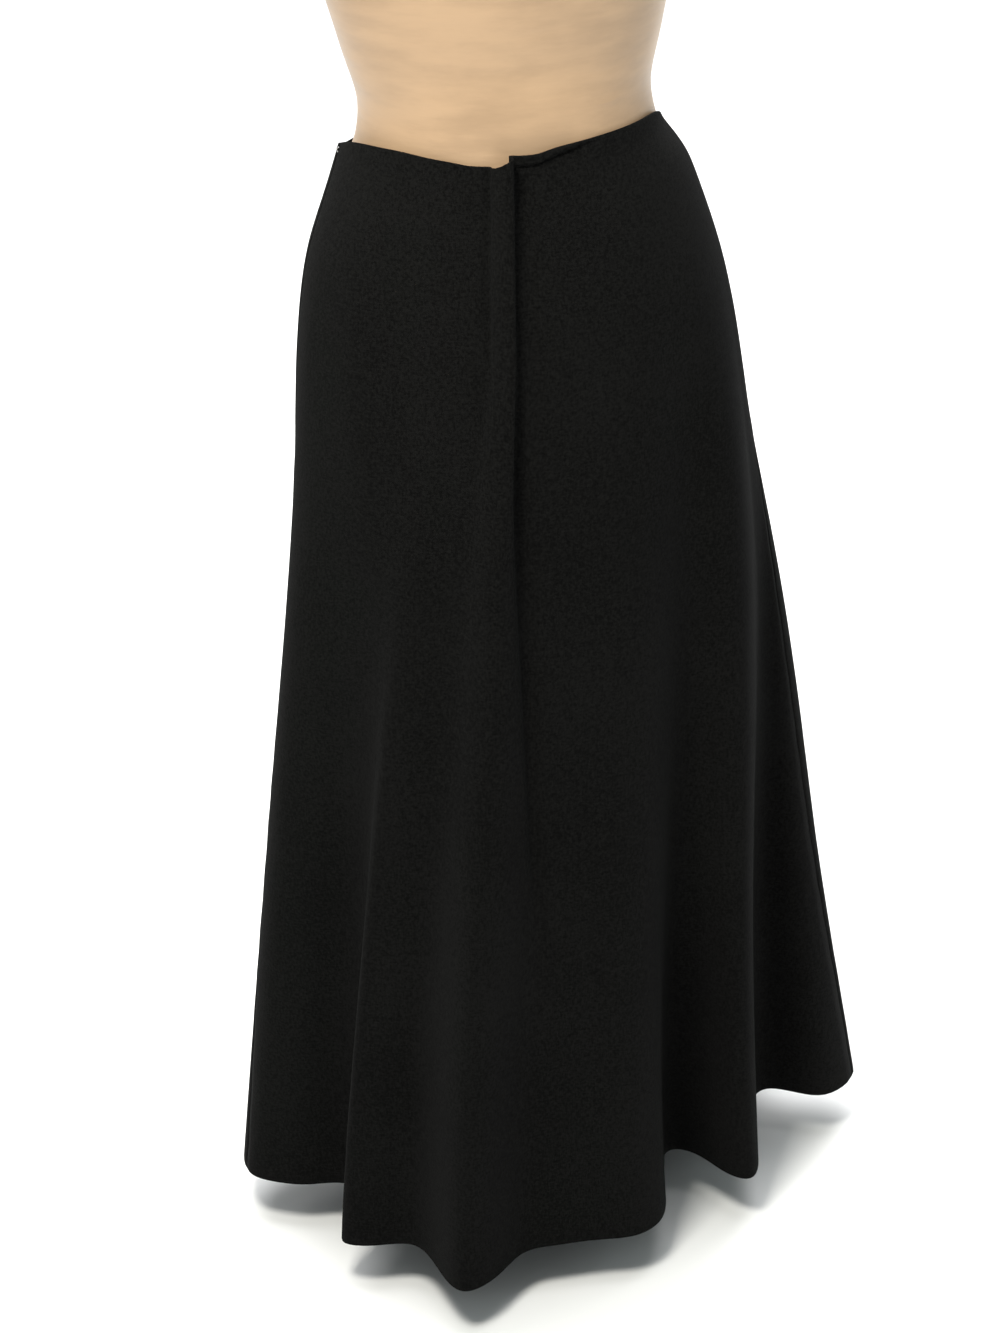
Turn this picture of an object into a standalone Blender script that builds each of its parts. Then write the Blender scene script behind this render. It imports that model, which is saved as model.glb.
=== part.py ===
"""A-line maxi skirt worn by a limbless dress form on a round stand.

Metres, +Z up. The origin is on the floor, on the stand's axis. The skirt's back, where its spare
width is pinched into a standing fold, faces -Y. Its side closing is at -X, its front faces +Y.

The cloth is one surface of two numbers: turn, the angle round the skirt in degrees (0 at the centre
back, -90 at the side closing, 90 at the other side seam, 180 at the centre front), and drop, how far
below the waist edge, in millimetres. Over the hips it follows plain sections. Below them it runs in
nearly straight lines to the hem, whose plan is a table of folds.
"""

import math
from collections import namedtuple

import bmesh
import bpy
import numpy as np

MM = 0.001

# Driving sizes, in millimetres
WAIST_HEIGHT = 1016.0
SKIRT_LENGTH = 968.0
CLOTH = 1.6
TURNED_HEM = 3.0
HEM_DEPTH = 42.0
SEAM_GAP = 0.3
CLEARANCE = 0.3

# Wall sections from the waist edge to the hem: how far the cloth reaches to each side at each drop.
Section = namedtuple("Section", "drop left right back front")
CLOTH_SECTIONS = (
    Section(0, 129, 122, 101, 100),
    Section(16, 134, 126, 103, 102),
    Section(36, 141, 139.5, 107, 106),
    Section(61, 150.5, 151, 113, 111),
    Section(96, 164, 162, 119, 117),
    Section(136, 174, 172.5, 125, 121),
    Section(186, 181.5, 181.5, 130, 125),
    Section(246, 189, 192, 134, 130),
    Section(436, 214, 223.5, 150, 150),
    Section(576, 234.5, 239.5, 162, 163),
    Section(716, 254.5, 252.5, 174, 176),
    Section(968, 290.5, 284, 190, 190),
)

# The waist edge is not level: how far below the highest place it lies.
Edge = namedtuple("Edge", "turn dip")
WAIST_EDGE = (
    Edge(-90, 14.5),
    Edge(-82, 10),
    Edge(-74, 6.7),
    Edge(-65, 4.8),
    Edge(-55, 4.3),
    Edge(-45, 5),
    Edge(-35, 7.8),
    Edge(-25, 11),
    Edge(-18, 13.8),
    Edge(-12, 12.4),
    Edge(-6, 5.5),
    Edge(1, 7.3),
    Edge(9, 5),
    Edge(20, 2.6),
    Edge(38, 1.2),
    Edge(55, 1),
    Edge(66, 2),
    Edge(75, 5.6),
    Edge(84, 11),
    Edge(92, 15.5),
    Edge(104, 20),
    Edge(130, 22),
    Edge(180, 22),
    Edge(225, 26),
    Edge(244, 28),
    Edge(254, 24.5),
    Edge(263, 18.5),
)

# The hem in plan. A row is a crest, a valley or a side of a fold: its turn in the cloth, where the
# hem then lies, and the drop from which the fold grows.
Fold = namedtuple("Fold", "turn x y start")
HEM_FOLDS = (
    Fold(-90, -290, -10, 164),
    Fold(-84, -272, -34, 164),
    Fold(-79, -244, -47, 184),
    Fold(-72, -208, -52, 214),
    Fold(-66, -184, -73, 234),
    Fold(-60, -196, -106, 234),
    Fold(-54, -218, -138, 214),
    Fold(-48, -190, -153, 194),
    Fold(-42, -154, -161, 174),
    Fold(-36, -138, -204, 164),
    Fold(-29.5, -122, -235, 154),
    Fold(-23, -92, -222, 154),
    Fold(-16.5, -66, -194, 154),
    Fold(-9, -34, -187, 164),
    Fold(-3, 2, -188, 174),
    Fold(3, 36, -190, 174),
    Fold(8.5, 61, -175, 164),
    Fold(17, 75, -126, 144),
    Fold(26, 90, -71, 134),
    Fold(32, 112, -80, 134),
    Fold(38.5, 132, -112, 144),
    Fold(45.5, 155, -127, 164),
    Fold(52, 168, -97, 174),
    Fold(60, 174, -48, 174),
    Fold(67.5, 185, -4, 174),
    Fold(73.5, 203, 8, 174),
    Fold(79, 226, -5, 174),
    Fold(84, 252, -15, 174),
    Fold(90, 284, 10, 174),
    Fold(99, 272, 52, 174),
    Fold(108, 232, 66, 184),
    Fold(116, 210, 99, 194),
    Fold(125, 222, 143, 194),
    Fold(133, 190, 170, 184),
    Fold(141, 146, 158, 184),
    Fold(150, 116, 185, 174),
    Fold(158, 92, 222, 174),
    Fold(165, 58, 219, 174),
    Fold(173, 28, 184, 184),
    Fold(181, -12, 181, 184),
    Fold(190, -50, 208, 174),
    Fold(198, -88, 221, 174),
    Fold(206, -118, 190, 184),
    Fold(214, -146, 158, 194),
    Fold(222, -188, 164, 194),
    Fold(231, -228, 164, 184),
    Fold(240, -236, 121, 184),
    Fold(248, -224, 83, 184),
    Fold(256, -254, 57, 174),
    Fold(264, -286, 30, 164),
)

# The folds do not hang along the cloth's own lines: at the waist each starts this far round from
# where it meets the hem.
Slant = namedtuple("Slant", "turn start")
FOLD_SLANT = (
    Slant(-90, 24),
    Slant(-50, 34),
    Slant(-10, 24),
    Slant(30, 19),
    Slant(80, 17),
    Slant(180, 18),
)
SLANT_POWER = 1.5

# The pinched fold at the centre back, at the waist edge: across is measured along the waist from the
# fold's middle, out is how far it stands from the cloth. It leans to the right.
Pinch = namedtuple("Pinch", "turn across out")
PINCH_PROFILE = (
    Pinch(-11, -25.3, 0),
    Pinch(-9, -17, 0),
    Pinch(-7, -9.5, 0.6),
    Pinch(-5.2, -7, 5.5),
    Pinch(-3.2, -4, 11),
    Pinch(-1, 1, 15.5),
    Pinch(1.2, 6, 17.2),
    Pinch(3, 9, 15.5),
    Pinch(4.6, 9, 10),
    Pinch(6.2, 7.6, 4),
    Pinch(7.8, 8.6, 0.8),
    Pinch(9.4, 14, 0),
    Pinch(11.5, 26.5, 0),
)
MM_PER_TURN = 2.3

# How the pinched fold runs down the skirt: where its middle is, how much of its height is left, and
# how many times wider each side of it has grown.
Run = namedtuple("Run", "drop turn height left right")
PINCH_RUN = (
    Run(0, -8.7, 1.00, 1.0, 1.0),
    Run(100, -9.0, 0.92, 1.0, 1.0),
    Run(190, -9.6, 0.82, 1.4, 1.0),
    Run(280, -10.5, 0.68, 2.2, 1.1),
    Run(450, -12.4, 0.48, 3.4, 1.5),
    Run(600, -14.6, 0.32, 4.4, 2.0),
    Run(760, -17.0, 0.16, 5.2, 2.6),
    Run(968, -20.0, 0.00, 5.8, 3.0),
)

# Grid of the cloth
BACK_COLUMNS = (
    *np.arange(-90, -22, 3.4),
    *np.arange(-21.4, 4, 1.4),
    *np.arange(4, 88, 3.4),
    90,
)
FRONT_COLUMNS = (*np.linspace(90, 262, 43), 266, 270)
CLOTH_DROPS = (
    0, 12, 28, 50, 80, 115, 150, 184, 200, 246, 310, 400, 510, 630, 750, 850, 922, 928, 968,
)
EDGE_REACH = 80.0

# Side closing
ZIP_LENGTH = 180.0
ZIP_TAPE_WIDTH = 24.0
ZIP_TAPE_THICKNESS = 0.7
ZIP_CHAIN_WIDTH = 2.6
ZIP_CHAIN_HEIGHT = 1.2
ZIP_CLEARANCE = 0.45
ZIP_OPENING = 3.8
HOOK_DROP = 7.0
HOOK_WIRE = 0.5

# Dress form sections: how far the body reaches to each side and to the back and front at a height.
Body = namedtuple("Body", "height side back front")
BODY_SECTIONS = (
    Body(700, 116, 82, 76),
    Body(712, 139, 99, 92),
    Body(740, 157, 112, 104),
    Body(780, 170, 121, 114),
    Body(830, 176.5, 125.5, 119),
    Body(880, 168.5, 120, 116.5),
    Body(920, 157.5, 114.5, 112.5),
    Body(955, 144, 108.5, 107),
    Body(980, 132, 103, 102.5),
    Body(1000, 122.5, 99.8, 98.5),
    Body(1016, 118.5, 97.5, 96.5),
    Body(1035, 117.5, 95, 95),
    Body(1066, 124.5, 92, 97),
    Body(1095, 131.5, 93, 100),
    Body(1127, 139, 95, 105),
    Body(1180, 147, 99, 111),
    Body(1225, 150, 103, 113),
    Body(1270, 153, 107, 106),
    Body(1315, 161, 107, 94),
    Body(1350, 166, 100, 80),
    Body(1378, 158, 86, 68),
    Body(1398, 128, 73, 60),
    Body(1412, 88, 64, 55),
    Body(1430, 62, 57, 52),
    Body(1460, 54, 53, 50),
    Body(1500, 53, 52, 50),
)
BODY_ROUND_POINTS = 48
BODY_HEIGHTS = (
    700, 703, 712, 726, 745, 785, 830, 860, 890, 920, 950, 975, 1000, 1018, 1040, 1066, 1095, 1125,
    1150, 1180, 1205, 1230, 1255, 1285, 1315, 1340, 1360, 1376, 1390, 1402, 1414, 1430, 1455, 1500,
)
BUST_HEIGHT = 1212.0
BUST_SPACING = 74.0
BUST_RISE = 27.0
BUST_WIDTH = 52.0
BUST_TALL = 62.0

# Stand
NECK_CAP_HEIGHT = 9.0
NECK_CAP_OVERHANG = 3.0
SOCKET_RADIUS = 42.0
SOCKET_HEIGHT = 14.0
POLE_RADIUS = 15.0
BASE_RADIUS = 98.0
BASE_HEIGHT = 16.0
BASE_EDGE = 4.0
HUB_RADIUS = 27.0
HUB_HEIGHT = 30.0
ROUND_STEPS = 40


def smooth_curve(at, values, wanted, period=None):
    """Values at the wanted places, on a curve with even slopes and bends through the given rows."""
    at = np.asarray(at, float)
    values = np.asarray(values, float)
    wanted = np.asarray(wanted, float)
    if period:
        wanted = at[0] + np.mod(wanted - at[0], period)
        at = np.append(at, at[0] + period)
        values = np.append(values, values[0])
    count = len(at)
    gap = np.diff(at)
    slope = np.diff(values) / gap
    matrix = np.zeros((count, count))
    right = np.zeros(count)
    for i in range(1, count - 1):
        matrix[i, i - 1] = gap[i]
        matrix[i, i] = 2 * (gap[i - 1] + gap[i])
        matrix[i, i + 1] = gap[i - 1]
        right[i] = 3 * (gap[i] * slope[i - 1] + gap[i - 1] * slope[i])
    if period:
        matrix[0, 0] = 2 * (gap[0] + gap[-1])
        matrix[0, 1] = gap[-1]
        matrix[0, -2] = gap[0]
        right[0] = 3 * (gap[0] * slope[-1] + gap[-1] * slope[0])
        matrix[-1, 0] = -1
        matrix[-1, -1] = 1
    else:
        matrix[0, 0] = matrix[-1, -1] = 1
        right[0], right[-1] = slope[0], slope[-1]
    tangent = np.linalg.solve(matrix, right)
    i = np.clip(np.searchsorted(at, wanted, side="right") - 1, 0, count - 2)
    t = (wanted - at[i]) / gap[i]
    return (
        (1 + 2 * t) * (1 - t) ** 2 * values[i]
        + t * (1 - t) ** 2 * gap[i] * tangent[i]
        + t * t * (3 - 2 * t) * values[i + 1]
        + t * t * (t - 1) * gap[i] * tangent[i + 1]
    )


def column(rows, name):
    return [getattr(row, name) for row in rows]


def section_point(turn, drop):
    """The plain cloth with no folds: a quarter ellipse between each side, the back and the front."""
    reach = {
        name: smooth_curve(column(CLOTH_SECTIONS, "drop"), column(CLOTH_SECTIONS, name), drop)
        for name in ("left", "right", "back", "front")
    }
    angle = np.radians(turn)
    across, along = np.sin(angle), -np.cos(angle)
    x = across * np.where(across < 0, reach["left"], reach["right"])
    y = along * np.where(along < 0, reach["back"], reach["front"])
    return x, y


def fold_growth(turn, drop):
    """How much of the hem's fold is there: none at its start, then in a nearly straight line."""
    start = smooth_curve(column(HEM_FOLDS, "turn"), column(HEM_FOLDS, "start"), turn, 360)
    share = np.clip((drop - start) / (SKIRT_LENGTH - start), 0, None)
    soft = 0.12
    return share * share / (share + soft) * (1 + soft)


def pinch_shift(turn, drop):
    """How far the pinched fold moves the cloth across and out. It fades and widens down the skirt."""
    run = {
        name: smooth_curve(column(PINCH_RUN, "drop"), column(PINCH_RUN, name), drop)
        for name in ("turn", "height", "left", "right")
    }
    side = smooth_curve(column(CLOTH_SECTIONS, "drop"), column(CLOTH_SECTIONS, "left"), drop)
    away = turn - run["turn"]
    wider = np.where(away < 0, run["left"], run["right"])
    place = away * np.radians(side) / (wider * MM_PER_TURN)
    inside = np.clip(place, PINCH_PROFILE[0].turn, PINCH_PROFILE[-1].turn)
    across = smooth_curve(column(PINCH_PROFILE, "turn"), column(PINCH_PROFILE, "across"), inside)
    out = smooth_curve(column(PINCH_PROFILE, "turn"), column(PINCH_PROFILE, "out"), inside)
    across = np.where(place == inside, across - MM_PER_TURN * inside, 0)
    return across * wider * run["height"], np.where(place == inside, out, 0) * run["height"]


def edge_drop(turn, level):
    """The drop of a level counted from the waist edge, which itself rises and dips."""
    dip = smooth_curve(column(WAIST_EDGE, "turn"), column(WAIST_EDGE, "dip"), turn, 360)
    return level + dip * np.clip(1 - level / EDGE_REACH, 0, 1)


def cloth_point(turn, level):
    """The cloth's outer face, in millimetres, for arrays of turn and level below the waist edge."""
    turn, level = np.broadcast_arrays(np.asarray(turn, float), np.asarray(level, float))
    drop = edge_drop(turn, level)
    x, y = section_point(turn, drop)
    slant = smooth_curve(column(FOLD_SLANT, "turn"), column(FOLD_SLANT, "start"), turn, 360)
    above = np.clip(1 - drop / SKIRT_LENGTH, 0, 1)
    at_hem = turn - slant * above**SLANT_POWER
    plain_x, plain_y = section_point(at_hem, np.full_like(drop, SKIRT_LENGTH))
    hem_x = smooth_curve(column(HEM_FOLDS, "turn"), column(HEM_FOLDS, "x"), at_hem, 360)
    hem_y = smooth_curve(column(HEM_FOLDS, "turn"), column(HEM_FOLDS, "y"), at_hem, 360)
    grown = fold_growth(at_hem, drop)
    x = x + grown * (hem_x - plain_x)
    y = y + grown * (hem_y - plain_y)
    across, out = pinch_shift(turn, drop)
    angle = np.radians(turn)
    x = x + np.cos(angle) * across + np.sin(angle) * out
    y = y + np.sin(angle) * across - np.cos(angle) * out
    return np.stack([x, y, WAIST_HEIGHT - drop], axis=-1)


def cloth_normal(turn, drop):
    """The outward direction of the cloth's outer face."""
    step_turn, step_drop = 0.15, 0.5
    across = cloth_point(turn + step_turn, drop) - cloth_point(turn - step_turn, drop)
    down = cloth_point(turn, drop + step_drop) - cloth_point(turn, drop - step_drop)
    normal = np.cross(down, across)
    return normal / np.linalg.norm(normal, axis=-1, keepdims=True)


def level_inward(normal):
    """The level step that goes one millimetre straight in through the cloth."""
    flat = normal * (1, 1, 0)
    return -flat / np.sum(flat * flat, axis=-1, keepdims=True)


def material(name, colour, roughness, metallic=0.0):
    made = bpy.data.materials.new(name)
    made.use_nodes = True
    shader = made.node_tree.nodes["Principled BSDF"]
    shader.inputs["Base Color"].default_value = (*colour, 1)
    shader.inputs["Roughness"].default_value = roughness
    shader.inputs["Metallic"].default_value = metallic
    made.diffuse_color = (*colour, 1)
    return made


def add_object(name, data, finish):
    data.materials.append(finish)
    obj = bpy.data.objects.new(name, data)
    bpy.context.scene.collection.objects.link(obj)
    return obj


def mesh_from_grids(name, outer, inner, finish):
    """A wall between two grids of points: its two faces, its side edges, and its top and bottom."""
    rows, columns = outer.shape[:2]
    points = np.concatenate([outer.reshape(-1, 3), inner.reshape(-1, 3)]) * MM
    shift = rows * columns
    faces = []
    for i in range(rows - 1):
        for j in range(columns - 1):
            a, d = i * columns + j, (i + 1) * columns + j
            faces.append((a, d, d + 1, a + 1))
            faces.append((a + shift, a + 1 + shift, d + 1 + shift, d + shift))
    for j in range(columns - 1):
        low = (rows - 1) * columns + j
        faces.append((j, j + 1, j + 1 + shift, j + shift))
        faces.append((low + 1, low, low + shift, low + 1 + shift))
    for i in range(rows - 1):
        a, d = i * columns, (i + 1) * columns
        b, c = a + columns - 1, d + columns - 1
        faces.append((a, a + shift, d + shift, d))
        faces.append((b, c, c + shift, b + shift))
    mesh = bpy.data.meshes.new(name)
    mesh.from_pydata(points.tolist(), [], faces)
    mesh.validate()
    mesh.shade_smooth()
    mesh.set_sharp_from_angle(angle=math.radians(40))
    return add_object(name, mesh, finish)


def wall_thickness(drop):
    """One layer of cloth, and two pressed together where the hem is turned up inside."""
    return np.where(drop > SKIRT_LENGTH - HEM_DEPTH, TURNED_HEM, CLOTH)


def seam_setback(drop, at_closing):
    """How far a panel's side edge stands back from the seam line."""
    if not at_closing:
        return np.full_like(drop, SEAM_GAP / 2)
    closed = np.clip((drop - ZIP_LENGTH - 4) / 16, 0, 1)
    return (1 - closed) * ZIP_OPENING / 2 + closed * SEAM_GAP / 2


def build_panel(name, columns, closing_column, finish):
    """One panel of the skirt, from one side seam to the other."""
    drop = np.array(CLOTH_DROPS, float)[:, None]
    turn = np.array(columns, float)[None, :]
    outer = cloth_point(turn, drop)
    normal = cloth_normal(turn, drop)
    for edge, beside in ((0, 1), (-1, -2)):
        inward = outer[:, beside] - outer[:, edge]
        inward /= np.linalg.norm(inward, axis=1, keepdims=True)
        outer[:, edge] += inward * seam_setback(drop[:, 0], edge == closing_column)[:, None]
    inner = outer + level_inward(normal) * wall_thickness(drop)[:, :, None]
    return mesh_from_grids(name, outer, inner, finish)


def build_zip(finish):
    """The side zip: a tape behind the side opening, with the closed chain raised along its middle."""
    half, rib = ZIP_TAPE_WIDTH / 2, ZIP_CHAIN_WIDTH / 2
    across = np.array([-half, -rib - 0.4, -rib, rib, rib + 0.4, half])
    height = np.array([0, 0, ZIP_CHAIN_HEIGHT, ZIP_CHAIN_HEIGHT, 0, 0])
    drop = np.array([3, *(d for d in CLOTH_DROPS if 3 < d < ZIP_LENGTH), ZIP_LENGTH])[:, None]
    seam = np.full_like(drop, -90.0)
    mm_per_turn = np.linalg.norm(cloth_point(seam + 0.5, drop) - cloth_point(seam - 0.5, drop), axis=-1)
    turn = seam + across[None, :] / mm_per_turn
    face = cloth_point(turn, drop)
    step = level_inward(cloth_normal(turn, drop))
    depth = CLOTH + ZIP_CLEARANCE
    outer = face + step * (depth - height[None, :, None])
    inner = face + step * (depth + ZIP_TAPE_THICKNESS)
    return mesh_from_grids("side_zip", outer, inner, finish)


def build_hook(finish):
    """The hook and eye at the top of the closing: one bent wire across the opening."""
    reach = ZIP_OPENING / 2 + 3.2
    bends = ((-1.0, 0.0), (-0.72, 1.1), (-0.3, 1.5), (0.3, 1.5), (0.72, 1.1), (1.0, 0.0))
    curve = bpy.data.curves.new("hook_and_eye", "CURVE")
    curve.dimensions = "3D"
    curve.bevel_depth = HOOK_WIRE * MM
    curve.bevel_resolution = 2
    curve.use_fill_caps = True
    line = curve.splines.new("POLY")
    line.points.add(len(bends) - 1)
    seam = cloth_point(np.array([-90.0]), np.array([HOOK_DROP]))[0]
    out = cloth_normal(np.array([-90.0]), np.array([HOOK_DROP]))[0]
    along = np.cross(out, (0, 0, 1))
    along /= np.linalg.norm(along)
    for point, (side, rise) in zip(line.points, bends):
        place = seam + along * side * reach + out * (HOOK_WIRE + CLEARANCE + 0.35 + rise)
        point.co = (*(place * MM), 1)
    return add_object("hook_and_eye", curve, finish)


def body_point(angle, height):
    """The dress form's skin: quarter ellipses through its sections, with a plain bust in front."""
    reach = {
        name: smooth_curve(column(BODY_SECTIONS, "height"), column(BODY_SECTIONS, name), height)
        for name in ("side", "back", "front")
    }
    across, along = np.sin(angle), -np.cos(angle)
    x = across * reach["side"]
    y = along * np.where(along < 0, reach["back"], reach["front"])
    level = np.exp(-(((height - BUST_HEIGHT) / BUST_TALL) ** 2))
    bust = sum(np.exp(-(((x - side * BUST_SPACING) / BUST_WIDTH) ** 2)) for side in (-1, 1))
    y = y + BUST_RISE * level * bust * np.clip(along, 0, 1)
    return np.stack([x, y, height + 0 * x], axis=-1)


def build_body(finish):
    """The form's torso, closed flat under the hips and across the neck."""
    angle = np.linspace(0, 2 * math.pi, BODY_ROUND_POINTS, endpoint=False)
    bm = bmesh.new()
    rings = []
    for height in BODY_HEIGHTS:
        ring = body_point(angle, np.full_like(angle, float(height))) * MM
        verts = [bm.verts.new(p) for p in ring]
        rings.append([bm.edges.new((verts[i - 1], verts[i])) for i in range(len(verts))])
    for lower, upper in zip(rings, rings[1:]):
        bmesh.ops.bridge_loops(bm, edges=lower + upper)
    bmesh.ops.holes_fill(bm, edges=rings[0] + rings[-1], sides=0)
    bmesh.ops.recalc_face_normals(bm, faces=bm.faces)
    mesh = bpy.data.meshes.new("form_torso")
    bm.to_mesh(mesh)
    bm.free()
    mesh.shade_smooth()
    mesh.set_sharp_from_angle(angle=math.radians(50))
    return add_object("form_torso", mesh, finish)


def turned(name, profile, finish):
    """A round piece: its profile of (radius, height) pairs, bottom to top, turned about the axis."""
    bm = bmesh.new()
    points = [bm.verts.new((r * MM, 0, z * MM)) for r, z in profile]
    edges = [bm.edges.new(pair) for pair in zip(points, points[1:])]
    bmesh.ops.spin(
        bm, geom=points + edges, axis=(0, 0, 1), cent=(0, 0, 0),
        angle=2 * math.pi, steps=ROUND_STEPS, use_merge=True,
    )
    bmesh.ops.remove_doubles(bm, verts=bm.verts, dist=1e-6)
    bmesh.ops.holes_fill(bm, edges=[e for e in bm.edges if e.is_boundary], sides=0)
    bmesh.ops.recalc_face_normals(bm, faces=bm.faces)
    mesh = bpy.data.meshes.new(name)
    bm.to_mesh(mesh)
    bm.free()
    mesh.shade_smooth()
    mesh.set_sharp_from_angle(angle=math.radians(35))
    return add_object(name, mesh, finish)


def build_stand(paint, cap_finish):
    """Neck cap, socket under the torso, pole and round base, each resting on the one below."""
    neck = BODY_SECTIONS[-1]
    cap_low = neck.height + CLEARANCE
    cap_wide = neck.side + NECK_CAP_OVERHANG
    turned("neck_cap", (
        (cap_wide - 2, cap_low),
        (cap_wide, cap_low + 2),
        (cap_wide, cap_low + NECK_CAP_HEIGHT - 3),
        (cap_wide - 4, cap_low + NECK_CAP_HEIGHT),
    ), cap_finish)
    torso_low = BODY_SECTIONS[0].height
    socket_low = torso_low - CLEARANCE - SOCKET_HEIGHT
    turned("form_socket", (
        (POLE_RADIUS + 6, socket_low),
        (SOCKET_RADIUS - 8, socket_low + 5),
        (SOCKET_RADIUS, socket_low + SOCKET_HEIGHT - 4),
        (SOCKET_RADIUS, socket_low + SOCKET_HEIGHT),
    ), paint)
    hub_top = BASE_HEIGHT + HUB_HEIGHT
    turned("stand_pole", (
        (POLE_RADIUS, hub_top + CLEARANCE),
        (POLE_RADIUS, socket_low - CLEARANCE),
    ), paint)
    turned("stand_base", (
        (BASE_RADIUS - 2, 0),
        (BASE_RADIUS, 2),
        (BASE_RADIUS, BASE_HEIGHT - BASE_EDGE),
        (BASE_RADIUS - BASE_EDGE, BASE_HEIGHT),
        (HUB_RADIUS + 6, BASE_HEIGHT),
        (HUB_RADIUS, BASE_HEIGHT + 4),
        (HUB_RADIUS - 3, hub_top - 4),
        (POLE_RADIUS + 2, hub_top),
    ), paint)


def main():
    for obj in list(bpy.data.objects):
        bpy.data.objects.remove(obj)
    cloth = material("black_wool", (0.011, 0.011, 0.0105), 0.92)
    tape = material("black_tape", (0.012, 0.012, 0.012), 0.8)
    wire = material("hook_wire", (0.55, 0.55, 0.56), 0.35, 1.0)
    skin = material("cream_form", (0.63, 0.47, 0.31), 0.42)
    paint = material("stand_paint", (0.05, 0.05, 0.052), 0.4)
    build_panel("skirt_back", BACK_COLUMNS, 0, cloth)
    build_panel("skirt_front", FRONT_COLUMNS, -1, cloth)
    build_zip(tape)
    build_hook(wire)
    build_body(skin)
    build_stand(paint, skin)


main()
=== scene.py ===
"""The looks of a black A-line maxi skirt on a cream dress form with a round stand.

Sizes in the tables are millimetres and degrees, and meshes are metres, +Z up. The skirt's cloth is
one surface of two numbers, turn and level, as in the solids: turn is the angle round the skirt, 0 at
the centre back, and level is how far below the waist edge.
"""

import math
from collections import namedtuple

import bmesh
import bpy
import numpy as np
from bpy.props import FloatProperty, FloatVectorProperty, PointerProperty
from mathutils import Matrix, Vector


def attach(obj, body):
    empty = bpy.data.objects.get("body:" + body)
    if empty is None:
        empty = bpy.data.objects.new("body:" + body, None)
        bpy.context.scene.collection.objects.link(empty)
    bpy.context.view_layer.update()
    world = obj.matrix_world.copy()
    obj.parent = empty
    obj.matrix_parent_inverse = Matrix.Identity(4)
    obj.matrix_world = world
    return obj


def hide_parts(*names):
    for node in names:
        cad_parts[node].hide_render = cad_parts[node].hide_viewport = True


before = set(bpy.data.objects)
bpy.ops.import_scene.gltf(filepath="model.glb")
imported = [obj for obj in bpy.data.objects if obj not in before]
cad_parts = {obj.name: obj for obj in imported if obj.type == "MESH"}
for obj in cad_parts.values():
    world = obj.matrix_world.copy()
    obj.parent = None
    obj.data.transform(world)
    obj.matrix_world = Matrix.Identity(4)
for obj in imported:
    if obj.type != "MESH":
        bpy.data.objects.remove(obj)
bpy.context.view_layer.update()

bl_info = {
    "name": "Maxi Skirt on a Dress Form",
    "version": (1, 0, 0),
    "blender": (4, 5, 0),
    "location": "3D View > Sidebar > Skirt",
    "description": "Builds an A-line maxi skirt in soft flutes, on its dress form",
    "category": "Add Mesh",
}

MM = 0.001


def table(columns, *rows):
    """Rows under named columns."""
    row_type = namedtuple("Row", columns)
    return tuple(row_type(*row) for row in rows)


# The skirt's cut and its drape, as in the solids
WAIST_HEIGHT = 1016.0
SKIRT_LENGTH = 968.0
CLOTH = 1.6
TURNED_HEM = 3.0
HEM_DEPTH = 42.0
HEM_STEP = 1.5
SEAM_GAP = 0.3

CLOTH_SECTIONS = table(
    "drop left right back front",
    (0, 129, 122, 101, 100),
    (16, 134, 126, 103, 102),
    (36, 141, 139.5, 107, 106),
    (61, 150.5, 151, 113, 111),
    (96, 164, 162, 119, 117),
    (136, 174, 172.5, 125, 121),
    (186, 181.5, 181.5, 130, 125),
    (246, 189, 192, 134, 130),
    (436, 214, 223.5, 150, 150),
    (576, 234.5, 239.5, 162, 163),
    (716, 254.5, 252.5, 174, 176),
    (968, 290.5, 284, 190, 190),
)

# How far the waist edge dips below its highest place
WAIST_EDGE = table(
    "turn dip",
    (-90, 14.5),
    (-82, 10),
    (-74, 6.7),
    (-65, 4.8),
    (-55, 4.3),
    (-45, 5),
    (-35, 7.8),
    (-25, 11),
    (-18, 13.8),
    (-12, 12.4),
    (-6, 5.5),
    (1, 7.3),
    (9, 5),
    (20, 2.6),
    (38, 1.2),
    (55, 1),
    (66, 2),
    (75, 5.6),
    (84, 11),
    (92, 15.5),
    (104, 20),
    (130, 22),
    (180, 22),
    (225, 26),
    (244, 28),
    (254, 24.5),
    (263, 18.5),
)
EDGE_REACH = 80.0

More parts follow.
